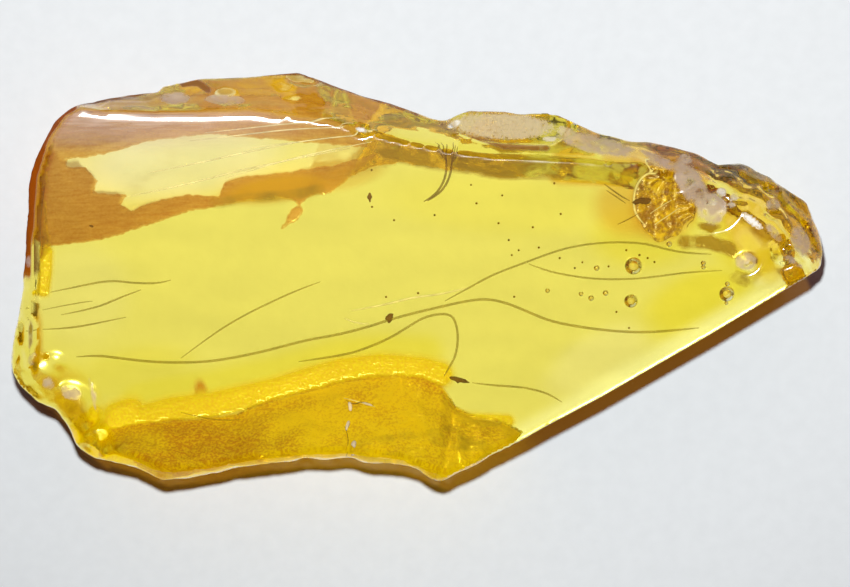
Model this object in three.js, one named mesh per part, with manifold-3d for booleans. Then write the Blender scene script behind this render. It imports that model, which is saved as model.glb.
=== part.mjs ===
// A raw piece of clear yellow amber: a slab with a polished flat top, a sawn straight edge,
// broken sides and a flat underside that it lies on.
// Millimetres, +Z up. The origin is under the middle of the slab, on the surface it rests on.

import * as THREE from "three";
import { mergeVertices } from "three/addons/utils/BufferGeometryUtils.js";
import Module from "manifold-3d";

const wasm = await Module();
wasm.setup();

// Driving dimensions, in millimetres. Every point below is picked on a sketch of the slab
// that is SKETCH_LENGTH long, and the finished piece is scaled from it to SLAB_LENGTH.
const SLAB_LENGTH = 50;
const SKETCH_LENGTH = 50;
const SLAB_THICKNESS = 7;
const CUTTER_REACH = 1.3;
const CUTTER_SPARE = 2;

// The outline seen from above, clockwise from the shoulder at the upper left.
// Broken stretches are hand-picked corners, because the break has no arcs.
const NORTH_EDGE = [
  [-20.9, 10.6], [-19.5, 10.9], [-17.8, 11.2], [-16, 11.4], [-15.8, 11.7], [-14.8, 11.9],
  [-13.4, 12.2], [-10.6, 12.3], [-8.3, 12.5], [-7.4, 12.6], [-6, 12.1], [-4.7, 11.6],
  [-3.3, 11.1], [-1.7, 10.7], [-0.4, 10.2], [1, 9.7], [1.6, 9.6],
];
const LEDGE_EDGE = [
  [2, 9.7], [2.6, 10], [3.2, 10.2], [5.4, 10.2], [6.4, 10], [8, 10.1], [8.6, 10], [9.9, 9.4],
  [11, 8.9], [12.5, 8.5], [13.2, 8.3],
];
const POINTED_END = [
  [14.3, 8.3], [15.7, 8], [17.2, 7.6], [18.5, 6.9], [19.9, 6.9], [20.4, 6.8], [21.8, 6.1],
  [22.4, 5.6], [23.6, 4.9], [24.1, 4.5], [24.3, 3.9], [24.8, 2.7], [25, 2], [25, 1.4], [24.8, 0.4],
];
const SAWN_EDGE = [[18.1, -3.6], [11.3, -7.5], [6.4, -10.1], [1.7, -12.5]];
const SOUTH_EDGE = [
  [1.3, -12.6], [0.8, -12.4], [0, -11.8], [-0.8, -11.6], [-2, -11.5], [-3.2, -11.5], [-4, -11.2],
  [-5.5, -11.3], [-7, -11.2], [-7.6, -11.4], [-9, -11.5], [-11.1, -11.8], [-12.2, -12.1],
  [-14.1, -12.4], [-15.7, -12.5], [-16.7, -12], [-18.4, -11.5], [-19.9, -11.2],
];
const CHIPPED_CORNER = [
  [-21, -10.5], [-21.5, -9.3], [-22.3, -8.2], [-23.4, -7.7], [-24.4, -6.9], [-24.8, -6.2],
  [-25, -5.6],
];
const WEST_EDGE = [
  [-25, -4.8], [-24.9, -4], [-24.6, -2.5], [-24.3, -0.9], [-24.2, 0.9], [-24.3, 1.7],
  [-24.1, 3.3], [-23.8, 6.2], [-23.6, 7.2], [-23, 8.4], [-22.4, 9.5], [-21.5, 10.3],
];
const OUTLINE = [
  ...NORTH_EDGE, ...LEDGE_EDGE, ...POINTED_END, ...SAWN_EDGE, ...SOUTH_EDGE, ...CHIPPED_CORNER,
  ...WEST_EDGE,
];

// Side facets above the rim, clockwise from the south tip. Each row is one station:
// where the facet leaves the polished top, x and y, where it meets the outline, x and y,
// and its height there.
const UPPER_SOUTH = [
  [3, -12.7, 2, -13.3, 6.2], [1.7, -12.3, 1.3, -12.6, 6.3], [0.3, -11.8, 0.2, -12.1, 6.4],
  [-1, -11.3, -0.9, -11.6, 6.4], [-4.4, -10.9, -4.4, -11.2, 6.4], [-7.2, -11, -7.2, -11.3, 6.4],
  [-10.3, -11.3, -10.3, -11.6, 6.4], [-13.2, -11.9, -13.2, -12.2, 6.3],
  [-15.5, -12.1, -15.6, -12.5, 6.2], [-17.5, -11.3, -17.6, -11.7, 6.2],
  [-19.1, -10.8, -19.4, -11.3, 6.2], [-20.2, -9.8, -21, -10.5, 6.1], [-21.1, -8, -22, -8.6, 6],
  [-22.3, -6.8, -23.4, -7.7, 5.8], [-23.5, -5.6, -24.8, -6.2, 5.6],
];
const UPPER_WEST = [
  [-24, -4, -24.9, -4.1, 5.9], [-24, -2.5, -24.6, -2.5, 6.1], [-23.8, -0.6, -24.2, -0.7, 6.3],
  [-23.8, 1.6, -24.2, 1.6, 6.3], [-23.6, 3.8, -24, 3.8, 6.3], [-23.4, 6.2, -23.8, 6.2, 6.3],
  [-22.7, 8.5, -23, 8.6, 6.2], [-21.7, 9.9, -22, 10, 5.9],
];
const UPPER_NORTH = [
  [-20.8, 10.4, -21, 10.6, 5.6], [-19, 10.2, -19, 11, 4.8], [-15.9, 10.1, -15.9, 11.5, 4.6],
  [-13.1, 10.1, -13.2, 12.2, 4.4], [-10.3, 10.2, -10.5, 12.3, 4.4], [-7.2, 9.8, -7.4, 12.6, 4.2],
  [-5.1, 9.5, -4.9, 11.7, 4.2], [-3.2, 9, -3.3, 11.1, 4.3], [-1.4, 8.5, -1.2, 10.5, 4.4],
  [0.5, 8.1, 0.7, 9.8, 4.6], [2.7, 7.7, 2.8, 10, 4.8], [5.1, 7.4, 5.1, 10.2, 4.8],
  [8.2, 7.3, 8.2, 10.1, 4.6], [11.3, 7.1, 11.3, 8.8, 4.5], [13.8, 7, 13.8, 8.3, 4.7],
];
const UPPER_POINT = [
  [15.5, 6.3, 15.8, 8, 4.8], [17.2, 5.8, 17.5, 7.5, 4.6], [18.7, 5.1, 19.2, 6.9, 4.6],
  [20.2, 4.3, 21.2, 6.4, 4.4], [21.5, 3.3, 22.7, 5.5, 4.2], [22.3, 2.3, 24.1, 4.4, 4],
  [23, 1.3, 24.9, 2.2, 4.3], [23.8, 0.4, 25, 0.9, 5],
  [24.4, -0.8, 26, -0.6, 5.2],
];
const UPPER_FACETS = [...UPPER_SOUTH, ...UPPER_WEST, ...UPPER_NORTH, ...UPPER_POINT];

// The broken ledge on the north side: from its foot at the wall to the outline.
const LEDGE_FLOOR = 4.4;
const LEDGE = [
  [1.9, 9.5, 1.7, 10, 4.1], [2.6, 8.8, 2.8, 10.1, 4], [4, 8.3, 4, 10.2, 3.9],
  [5.6, 8.1, 5.6, 10.2, 3.9], [8.2, 8.1, 8.2, 10.1, 3.9], [9.2, 8.6, 9.7, 9.6, 4],
];

// Facets under the rim, clockwise from the sawn edge. Each row is one station: where the
// facet leaves the flat underside, where it meets the outline, and its height there.
const LOWER_SOUTH = [
  [7.4, -10.5, 7.9, -11, 0.9], [6.4, -9.6, 6.8, -10, 1], [5.2, -9, 5.6, -10.5, 2.2],
  [3.6, -8.7, 4.1, -11.3, 3.4], [2.3, -8, 2.7, -12, 4.4], [1.6, -6.8, 1.4, -12.4, 4.9],
  [0.2, -6.2, 0.1, -11.9, 4.9], [-1, -6.1, -1, -11.6, 4.8], [-2.8, -6.2, -2.8, -11.5, 4.8],
  [-4.8, -6.5, -4.6, -11.3, 4.8], [-6.1, -6.9, -6, -11.3, 4.6], [-7.3, -7.2, -7.2, -11.3, 4.8],
  [-8.8, -7.6, -8.8, -11.5, 4.6], [-10, -8, -10.2, -11.6, 4.6], [-11.1, -8.5, -11.2, -11.8, 4.3],
  [-13.4, -8.8, -13.2, -12.2, 4.4], [-15.2, -8.9, -15.2, -12.4, 4.2],
  [-17.6, -9.2, -17.6, -11.8, 3.8], [-19, -9.5, -19.3, -11.3, 3],
];
const LOWER_CORNER = [
  [-20.1, -8.2, -21.4, -9.6, 1.2], [-21.8, -6.4, -23.4, -7.7, 0.9], [-23.4, -5.1, -25, -5.6, 0.8],
  [-23.6, -3.3, -24.8, -3.3, 1.2],
];
const LOWER_WEST = [
  [-23.6, -1.5, -24.4, -1.5, 1.8], [-23.4, 0.9, -24.2, 0.9, 2], [-22.7, 1.8, -24.1, 3.3, 2.8],
];
const LOWER_NORTH = [
  [-20.2, 2.2, -23, 8.4, 3.6], [-17.7, 3, -20.2, 10.7, 3.9], [-15.2, 3.8, -16.9, 11.3, 3.8],
  [-12.8, 4.3, -13.4, 12.2, 3.6], [-10.3, 4.6, -10.6, 12.3, 3.5], [-7.2, 4.7, -7.4, 12.6, 3.4],
  [-4.4, 5.9, -4.7, 11.6, 3.4], [-1, 7, -1.2, 10.5, 3.4], [2, 6.5, 1.8, 9.6, 3.3],
  [5.1, 6, 5.1, 10.2, 3.4], [8.8, 6, 9.4, 9.7, 3.4], [11.9, 5.7, 12.5, 8.5, 3.3],
];
const LOWER_POINT = [
  [14, 5.2, 15.8, 8, 3.3], [15.9, 4.6, 17.6, 7.5, 3.4], [18.4, 4.1, 20.4, 6.8, 3.4],
  [20.3, 3.2, 23, 5.2, 3.2], [21.5, 1.8, 24.6, 3.8, 3], [22.4, 0.5, 25, 1.7, 2.8],
  [22.9, -0.7, 24.9, 0.4, 2.5], [23.7, -1.9, 26, -0.8, 2],
];
const LOWER_FACETS = [
  ...LOWER_SOUTH, ...LOWER_CORNER, ...LOWER_WEST, ...LOWER_NORTH, ...LOWER_POINT,
];

// The west wall leans out from this height up to the rim: from its foot to the outline.
const WEST_WALL_FOOT = 2.4;
const WEST_WALL = [
  [-24, -3.5, -24.8, -3.5, 4.6], [-23.6, -1.5, -24.45, -1.5, 5.6], [-23.4, 0.9, -24.2, 0.9, 5.8],
  [-23.3, 3.3, -24.1, 3.3, 5.8], [-23, 6.2, -23.8, 6.2, 5.8], [-22.2, 8.3, -23, 8.6, 5.7],
  [-21.3, 9.5, -21.9, 10.1, 5.4], [-20.5, 10.1, -20.9, 10.7, 5],
];

// Shell-shaped scars and pits: centre x, y and z, then the three half-axes.
const SCARS = [
  [-21.5, -8.3, 9.3, 3, 3.1, 2.9],
  [-23.4, -6.2, 8.6, 2.2, 2, 2.1],
  [-19.9, -10.7, 8.5, 1.6, 2, 2],
  [-15, 11.5, 6.3, 1.1, 0.9, 1.3],
  [-11.9, 11.6, 6.6, 1.3, 1, 1.4],
  [-3.4, 9.3, 7.3, 0.6, 0.6, 0.8],
  [16, 6.1, 9.6, 3.6, 1.7, 2.9],
  [18.2, 4.4, 10.8, 4.4, 3.8, 4.2],
  [19.9, 5.2, 8.6, 2, 1.5, 2],
  [20.3, 0.9, 7.3, 0.8, 0.7, 0.7],
  [22.6, 1.7, 7.3, 0.9, 1.1, 1],
  [22.7, 3.9, 6.6, 1.3, 0.6, 1],
  [24.3, 3.2, 5.6, 0.7, 0.8, 1],
  [20.1, 4.6, 7.7, 1.1, 0.8, 1],
  [24.6, 1.3, 6.4, 0.6, 0.6, 0.9],
  [16.7, 7.3, 6.4, 0.7, 0.5, 0.7],
  [22.1, 5.5, 5.2, 0.9, 0.6, 0.8],
  [3.2, 9.6, 5.1, 1.1, 0.9, 0.9],
  [6.1, 9.5, 5, 1.5, 1, 0.9],
  [8.9, 9.1, 5.1, 1, 0.8, 0.9],
  [-6.8, 12.3, 4.6, 1.3, 0.6, 0.8],
  [-24.3, 0.6, 4.2, 0.4, 1.2, 1.3],
  [-24.7, -3.6, 7.6, 1.2, 1.6, 1.5],
  [-22.4, -5.3, 8.2, 1.4, 1.1, 1.5],
  [-4.2, -11.4, 3.6, 0.4, 0.6, 1.4],
];
const SCAR_SIDES = 28;
const SCAR_RINGS = 26;

function solidFrom(geometry) {
  geometry.deleteAttribute("normal");
  geometry.deleteAttribute("uv");
  const merged = mergeVertices(geometry);
  return new wasm.Manifold(new wasm.Mesh({
    numProp: 3,
    vertProperties: Float32Array.from(merged.attributes.position.array),
    triVerts: Uint32Array.from(merged.index.array),
  }));
}

function geometryFrom(solid) {
  const cut = solid.getMesh();
  const geometry = new THREE.BufferGeometry();
  geometry.setAttribute("position", new THREE.BufferAttribute(cut.vertProperties, 3));
  geometry.setIndex(new THREE.BufferAttribute(cut.triVerts, 1));
  geometry.computeVertexNormals();
  return geometry;
}

function slab() {
  const outline = new THREE.Shape(OUTLINE.map(([x, y]) => new THREE.Vector2(x, y)));
  const geometry = new THREE.ExtrudeGeometry(outline, {
    depth: SLAB_THICKNESS, steps: 1, bevelEnabled: false,
  });
  return solidFrom(geometry);
}

// A bar bent along the stations. Its inner side stands on the line where the facet starts,
// its slanting side lies on the facet and runs on past the outline, and it is open upwards
// for a facet above the rim and downwards for one below it.
function facetCutter(stations, startHeight, openHeight) {
  const bar = new THREE.BoxGeometry(1, 1, 1, stations.length - 1, 1, 1);
  const position = bar.attributes.position;
  const opensUp = openHeight > startHeight;
  for (let i = 0; i < position.count; i += 1) {
    const along = Math.round((position.getX(i) + 0.5) * (stations.length - 1));
    const [startX, startY, rimX, rimY, rimHeight] = stations[along];
    const width = Math.hypot(rimX - startX, rimY - startY);
    const reach = position.getY(i) > 0 ? (width + CUTTER_REACH) / width : 0;
    const facetHeight = startHeight + (rimHeight - startHeight) * reach;
    const isOpenSide = (position.getZ(i) > 0) === opensUp;
    position.setXYZ(
      i,
      startX + (rimX - startX) * reach,
      startY + (rimY - startY) * reach,
      isOpenSide ? openHeight : facetHeight,
    );
  }
  return solidFrom(bar);
}

function scarCutter([x, y, z, halfLength, halfWidth, halfHeight]) {
  const bowl = new THREE.SphereGeometry(1, SCAR_SIDES, SCAR_RINGS);
  bowl.scale(halfLength, halfWidth, halfHeight);
  bowl.translate(x, y, z);
  return solidFrom(bowl);
}

function amberSolid() {
  const above = SLAB_THICKNESS + CUTTER_SPARE;
  const cutters = [
    facetCutter(UPPER_FACETS, SLAB_THICKNESS, above),
    facetCutter(LEDGE, LEDGE_FLOOR, above),
    facetCutter(LOWER_FACETS, 0, -CUTTER_SPARE),
    facetCutter(WEST_WALL, WEST_WALL_FOOT, -CUTTER_SPARE),
    ...SCARS.map(scarCutter),
  ];
  return cutters.reduce((solid, cutter) => solid.subtract(cutter), slab());
}

const amber = new THREE.Mesh(
  geometryFrom(amberSolid()),
  new THREE.MeshStandardMaterial({ color: 0xe8d23c, roughness: 0.15, metalness: 0 }),
);
amber.name = "amber";

const piece = new THREE.Group();
piece.scale.setScalar(SLAB_LENGTH / SKETCH_LENGTH);
piece.add(amber);

export default piece;
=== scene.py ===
"""A raw piece of clear yellow amber: a slab with a polished flat top, a sawn side, broken sides
with a brown crust under one end, and bubbles, flow lines and cracks sealed inside."""

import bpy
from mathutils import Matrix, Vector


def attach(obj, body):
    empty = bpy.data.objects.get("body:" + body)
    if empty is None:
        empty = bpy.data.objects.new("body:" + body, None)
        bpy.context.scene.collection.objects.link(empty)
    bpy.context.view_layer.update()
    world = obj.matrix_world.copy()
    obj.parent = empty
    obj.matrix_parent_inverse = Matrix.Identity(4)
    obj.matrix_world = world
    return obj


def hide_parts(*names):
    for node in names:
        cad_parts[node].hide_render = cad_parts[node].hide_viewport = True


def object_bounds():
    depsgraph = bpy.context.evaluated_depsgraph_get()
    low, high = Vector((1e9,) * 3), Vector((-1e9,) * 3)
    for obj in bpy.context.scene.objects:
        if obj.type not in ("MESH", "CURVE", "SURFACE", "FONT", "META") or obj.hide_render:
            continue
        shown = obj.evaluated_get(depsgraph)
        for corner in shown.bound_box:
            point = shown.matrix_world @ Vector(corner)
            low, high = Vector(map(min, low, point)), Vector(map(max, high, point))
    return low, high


bl_info = {
    "name": "Raw amber piece",
    "version": (1, 0, 0),
    "blender": (4, 5, 0),
    "location": "View3D > Sidebar > Amber",
    "description": "Builds a polished raw amber slab with its inclusions and a plain stage",
    "category": "Object",
}

import math

import bmesh
import bpy
import numpy as np
from bpy.props import FloatProperty, FloatVectorProperty, PointerProperty
from mathutils import Matrix, Vector, noise

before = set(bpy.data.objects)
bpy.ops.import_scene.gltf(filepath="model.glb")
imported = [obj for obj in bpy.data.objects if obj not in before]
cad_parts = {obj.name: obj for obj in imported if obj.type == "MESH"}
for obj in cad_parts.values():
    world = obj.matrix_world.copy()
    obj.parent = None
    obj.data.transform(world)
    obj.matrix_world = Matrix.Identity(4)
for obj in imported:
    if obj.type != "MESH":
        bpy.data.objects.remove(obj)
CAD_LOW, CAD_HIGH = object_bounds()

MM = 0.001
BODY = "root"
NODE = "amber"
TOP = CAD_HIGH.z / MM

# Corners of the frame's solid that are closer than this are one.
MERGE_GAP = 0.001 * MM

# The floor lies this far under the piece, in millimetres, so that no two faces coincide.
FLOOR_GAP = 0.08

# The picture's width in pixels, its pixels for each millimetre of the piece, the point of the
# piece that the camera is over, and the camera's sensor width, in millimetres.
PICTURE_WIDTH = 850
PIXELS_PER_MM = 16.2
VIEW_MIDDLE = (0.48, -1.08)
SENSOR_WIDTH = 36

# Optical values: amber's usual one, the air's against the amber round it, the lamp light that a
# bubble lets through, and the clear yellow that deepens with the amber's thickness.
AMBER_IOR = 1.54
AIR_IN_AMBER_IOR = 0.65
BUBBLE_TINT = (0.8, 0.72, 0.5, 1.0)
ABSORPTION_COLOUR = (1.0, 0.93, 0.0, 1.0)
ABSORPTION_DENSITY = 130.0
LIGHT_BOUNCES = 16

# What Math, Vector Math and Mix nodes are set to.
MULTIPLY = {"operation": "MULTIPLY"}
LARGER = {"operation": "MAXIMUM"}
SCALE = {"operation": "SCALE"}
COLOUR_MIX = {"data_type": "RGBA"}

# The sawn side as a line seen from above, in millimetres: one point on it and its outward way.
SAWN_POINT = (11.3, -7.5)
SAWN_WAY = (0.5, -0.866)

# Regions of the skin seen from above, in millimetres, as listed corners.
CRUST_OUTLINE = [
    (-25, 1.7), (-22.7, 1.9), (-20.2, 2.2), (-18.4, 2.6), (-16.5, 3.3), (-14, 4.1), (-12.8, 4.3),
    (-10.3, 4.7), (-8.6, 4.9), (-7.4, 4.6), (-7.1, 4.1), (-7.5, 3.5), (-8.5, 2.9), (-8.2, 3.3),
    (-7.8, 4.1), (-6.6, 5), (-5.4, 5.2), (-3.6, 6.6), (-2.4, 7.6), (-4, 8.9), (-7, 9.7),
    (-12, 10.2), (-18, 10.6), (-21, 11), (-26, 11),
]
WINDOW_OUTLINE = [
    (-21.8, 7.3), (-20.5, 7.4), (-19.3, 7.6), (-17.1, 8.3), (-15.9, 8.5), (-13.4, 8.8),
    (-12.2, 8.8), (-5.4, 8.2), (-1.7, 7.9), (-4.8, 6.9), (-8.1, 6.4), (-10.9, 6.1), (-11.9, 5.8),
    (-12.3, 4.9), (-14.3, 5), (-16.5, 4.5), (-17.7, 4), (-18.5, 4.4), (-18, 5), (-19.7, 5.1),
    (-20.1, 5.2), (-19.9, 5.9), (-20.3, 6.4), (-20.6, 6.7), (-21.8, 6.7),
]

# Spots of finish, some of them painted light or shade as noted at each: centre x and y, half
# length, half width, turn in degrees and strength.
SPOTS = {
    "frost": [
        (-15.0, 11.0, 0.95, 0.4, 0, 1), (-11.9, 10.9, 1.3, 0.35, -3, 0.9),
        (11.1, 8.1, 2.6, 0.6, -12, 0.9), (15.5, 6.9, 2.1, 0.3, -27, 0.9),
        (16.9, 5.7, 0.8, 1.7, 30, 1), (18.2, 4.2, 1.0, 1.1, 0, 0.8), (21.2, 6.3, 1.9, 0.35, -28, 0.6),
        (16.6, 7.2, 0.4, 0.4, 0, 1), (23.7, 2.1, 0.6, 1.1, 20, 0.9), (20.3, 0.9, 0.7, 0.6, 0, 0.9),
        (22.0, 2.7, 0.3, 0.8, 40, 0.8), (22.0, 4.4, 0.5, 0.4, 0, 0.8), (23.2, 0.9, 0.8, 0.25, -30, 0.7),
        (-21.4, -7.2, 0.7, 0.45, -20, 1), (-22.8, -6.6, 0.4, 0.5, 30, 0.8),
        (-20.0, -7.4, 0.16, 1.1, 12, 1), (-24.0, 0.9, 0.2, 0.4, 0, 0.6),
        (-23.8, -5.1, 0.25, 0.45, -30, 0.8),
    ],
    "beige": [(5.1, 9.3, 3.5, 0.85, -2, 1), (9.4, 8.8, 0.9, 0.4, -25, 0.9)],
    # White: painted glints where the lamp catches the polish and the broken end, and a few pale specks on
    # the ledge.
    "specks_and_painted_glints": [
        (2.3, 9.4, 0.5, 0.25, 25, 0.9), (8.2, 8.5, 0.5, 0.22, 0, 0.6), (-3.4, 9.0, 0.45, 0.14, -15, 1),
        (18.8, 5.2, 0.35, 0.3, 0, 0.8), (19.6, 4.9, 0.3, 0.3, 0, 0.75), (19.4, 4.4, 0.3, 0.2, 0, 0.7),
        (20.7, 3.4, 0.8, 0.22, -38, 1),
    ],
    "smear": [
        (-13.4, -7.4, 0.45, 1.0, 8, 0.75), (15.2, 4.4, 1.9, 2.2, 0, 0.8), (18.4, 4.8, 1.2, 1.4, 0, 0.4),
        (22.6, 1.7, 0.6, 0.7, 0, 0.45), (23.0, 3.7, 0.9, 0.5, -50, 0.7),
    ],
    "stain": [
        (-8.6, 5.4, 3.4, 0.8, 8, 0.8), (-4.4, 6.1, 2.4, 0.7, 14, 0.45), (13.2, 4.4, 2.2, 2.0, 0, 0.6),
        (13.0, 6.4, 2.6, 0.7, -12, 0.9), (21.4, 2.6, 2.2, 3.0, 20, 0.6), (-21.6, -8.0, 1.7, 2.2, 35, 0.7),
        (-19.6, -9.6, 1.6, 1.4, 0, 0.8), (5.5, 7.0, 6.0, 0.5, -6, 0.6),
        (-24.0, -4.0, 0.7, 2.6, 0, 1),
    ],
    "pale": [
        (-14.5, 6.8, 6.0, 1.9, 8, 1), (-5.5, 7.4, 4.0, 1.2, 10, 0.2), (11.2, -5.2, 3.5, 1.6, 30, 0.6),
        (-21.0, -1.0, 3.0, 3.0, 0, 0.35),
    ],
    "deep": [
        (17.6, -1.6, 3.6, 1.9, 20, 1), (-17.5, -6.0, 3.6, 1.6, 10, 0.5), (5.0, 4.5, 7.0, 1.8, -4, 0.3),
        (14.0, 2.6, 3.2, 2.0, 0, 0.8), (21.0, 2.5, 2.6, 3.0, 0, 1), (-21.6, -7.6, 2.0, 2.0, 0, 0.9),
    ],
    "glow": [(20.6, 2.3, 0.9, 0.7, -30, 0.7), (21.6, -0.2, 0.8, 0.3, 30, 0.8)],
}

# Strips of finish, some of them painted light or shade as noted at each: points along the
# middle, half width and strength.
SOUTH_STRIP = [
    (-18.6, -9.4), (-17.4, -8.9), (-15.3, -8.3), (-12.8, -8), (-10.6, -7.5), (-8.8, -7.1),
    (-6.9, -6.5), (-4.8, -5.9), (-2.3, -5.6), (0.2, -5.8), (1.4, -6.1),
]
STRIPS = {
    # Gold: a golden stain, and a painted pool of the lamp light that the bevels gather beside them.
    "gold_stain_and_painted_light": [
        (SOUTH_STRIP, 0.85, 0.95),
        ([(-18.7, -9.8), (-18.5, -8.8), (-17.8, -8.6)], 1.1, 1),
        ([(1.7, -8.6), (3.3, -8.9), (5.6, -9)], 0.45, 0.8),
        ([(-23, 1.5), (-23.05, 0.3), (-23.2, -0.9)], 0.4, 1),
        ([(8.8, 6.5), (11, 6.4), (13.2, 6.1)], 0.5, 0.7),
        ([(20.2, 5.4), (21.8, 4.4), (22.8, 3.4)], 0.5, 0.8),
        ([(20.4, 2.2), (21.3, 1.2), (21.8, 0)], 0.45, 0.3),
    ],
    "stain": [
        ([(2, 7.5), (5, 7.4), (8.8, 7.2)], 0.4, 0.8),
        ([(8.8, 6.4), (11, 6.3), (13.4, 6)], 0.7, 1),
        ([(14, 7.4), (17, 6.7), (19.8, 6), (22, 4.8), (23.8, 3), (24.2, 1.4)], 0.9, 0.6),
        ([(-12, 11.4), (-9, 11.5), (-6, 10.9), (-3, 9.9), (0, 9)], 0.9, 0.6),
    ],
    "deep": [
        ([(-17.4, -7.6), (-15.3, -7.1), (-12.8, -6.9), (-10.6, -6.4), (-8.8, -6), (-6.9, -5.5),
          (-4.8, -4.9), (-2.3, -4.7), (0.4, -4.8)], 1.2, 0.9),
    ],
    # Olive: mostly painted shade below the north wall, the scoop, a pit and the crust's edge; the rest is
    # a dull stain.
    "olive_stain_and_painted_shade": [
        ([(-2, 7.9), (0.8, 7.3), (3.3, 7), (5.1, 6.7), (7.6, 6.7), (9.2, 6.6)], 0.7, 1),
        ([(-23.6, -1.8), (-23.9, -3.5), (-23.8, -5.4)], 0.16, 0.9),
        ([(1.2, -10), (2.6, -10.4), (3.8, -10.3)], 0.6, 0.45),
        ([(-4, -10.5), (-2.4, -10.1), (-0.6, -9.9), (1.2, -9.6), (3, -9.2), (5, -9.1)], 0.3, 0.42),
        ([(-4.2, -10.8), (-1.5, -11.1), (0.2, -11.4)], 0.4, 0.35),
        ([(16.6, 2.1), (18.2, 2.1), (19.4, 1.7)], 0.5, 0.95),
        ([(-12.6, 4.5), (-10.3, 4.9), (-8, 5), (-6, 5.4)], 0.4, 0.6),
        ([(19.6, -0.1), (20.4, -0.4)], 0.35, 0.6),
    ],
    "brown": [
        ([(-24.35, 0), (-24.4, 1.7), (-24.2, 3.4), (-23.95, 6.2), (-23.2, 8.6), (-22.1, 10.1)], 0.14, 1),
        ([(-21, 10.7), (-19, 11), (-16.5, 11.5)], 0.25, 0.9),
        ([(-14.5, 11.9), (-13.6, 12), (-12.9, 11.5)], 0.22, 1),
        ([(-12, 12.3), (-9, 12.5), (-7.2, 12.5), (-5, 11.7), (-2.5, 10.9), (0, 10)], 0.12, 0.8),
        ([(1.5, 9.4), (5.4, 8), (8, 7.9)], 0.25, 0.7),
        ([(12.5, 8.5), (15.5, 8), (17.5, 7.5), (19.9, 6.8), (22, 5.8), (23.6, 4.7), (24.4, 3.5),
          (24.8, 2), (24.7, 0.9)], 0.12, 0.4),
    ],
    "rind": [
        ([(-23.9, 0.6), (-24, 2), (-23.9, 4), (-23.7, 6.2), (-23.3, 7.6)], 0.7, 1),
        ([(-23.6, 6.6), (-23, 8.4), (-22.2, 9.6), (-21.4, 10.3)], 0.45, 0.8),
    ],
}

# A spot fades out between these shares of its half length and width, a strip between these of
# its half width.
SPOT_FADE = (1.35, 0.65)
STRIP_FADE = (1.5, 0.4)

# Scratches haze the polish in an oval: its middle and half axes, in millimetres, the shares of
# them between which it fades in, and its strength.
HAZE_MIDDLE = (-18, 10.4)
HAZE_REACH = (9.5, 1.8)
HAZE_FADE = (1.7, 0)
HAZE_STRENGTH = 0.5

# Places in millimetres at which a region begins, and at which it is full. The orange skin lies
# in the south west and is thinner at the far west, where it loses this share. It is riper to the
# east. Broken faces are calmer in the north, by this share. The lamp's light gathers beside the
# sawn side, and "fair" lies north and east of these, off that side.
SKIN_SOUTH = (-2, -4)
SKIN_WEST = (8, 6)
THIN_SKIN_WEST = (-17.5, -19.5)
THIN_SKIN_LOSS = 0.7
RIPE_EAST = (-11, -7.5)
CALM_NORTH = (6, 8)
CALM_LOSS = 0.65
GLOW_OFF_SAWN = (1.5, 0.2)
FAIR_NORTH = (1, 3)
FAIR_EAST = (-20, -12)
FAIR_OFF_SAWN = (2, 4)

# How far from a flat face, in millimetres, breaks begin and are full in shape and in finish.
BREAK_SHAPE = (0.0, 0.35)
BREAK_FINISH = (0.02, 0.2)

# How far up a face looks, 1 being straight up: lying flat, level as the polish is, and down.
FLAT_TO_STEEP = (0.92, 0.8)
LEVEL = (0.9, 0.99)
LOOKS_DOWN = (0.1, -0.15)

# Breaks that lie flat are as deep as this share of the steep ones. Ribs are on faces that look
# up more than this, and wander with the lumps by up to this many radians.
FLAT_BREAK_SHARE = 0.2
RIB_LOOKS_UP = -0.1
RIB_WANDER = 2.5

# Points this close under the top, in millimetres, belong to the polished face, those further
# down than the second to the broken rim, and those lower than the third to the underside.
TOP_REACH = 0.1
RIM_START = 0.05
UNDERSIDE_REACH = 0.05

# All of the broken rim is frosted by at least this share.
FAINT_FROST = 0.05

# The orange skin is riper in the east by the first, and by the second in patches about this
# wide, in millimetres, all within the range.
RIPE_EAST_GAIN = 0.8
RIPE_PATCH_GAIN = 1.2
RIPE_PATCH = 1.8
RIPE_RANGE = (-0.4, 1.4)

# How far one seed of smooth noise is from the next, along x, y and z.
SEED_STEPS = (17.3, 5.1, 9.7)

# The numbers that mark_regions stores for each point of the skin. "ripe" is where the orange
# skin is brighter, "up" is faces that look up, and "fair" is where steep faces let more light
# down. "glow", "pale" and "deep" tint the lamp's light on its way through. The olive, gold and
# white marks are partly painted shade, painted light and painted glints.
MARKS = [
    "crust", "skin", "ripe", "gold_stain_and_painted_light", "stain", "smear", "olive_stain_and_painted_shade", "brown", "rind", "frost",
    "beige", "specks_and_painted_glints", "up", "haze", "fair", "glow", "pale", "deep",
]

# The polished edge is ground down a little along this line, and catches the lamp there.
LAMP_EDGE = [
    (-20.8, 10.4), (-19, 10.2), (-15.9, 10.1), (-13.1, 10.1), (-10.3, 10.2), (-8.6, 9.98),
]
LAMP_EDGE_WIDTH = 0.5
LAMP_EDGE_SLOPE = math.tan(math.radians(3.6))

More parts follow.
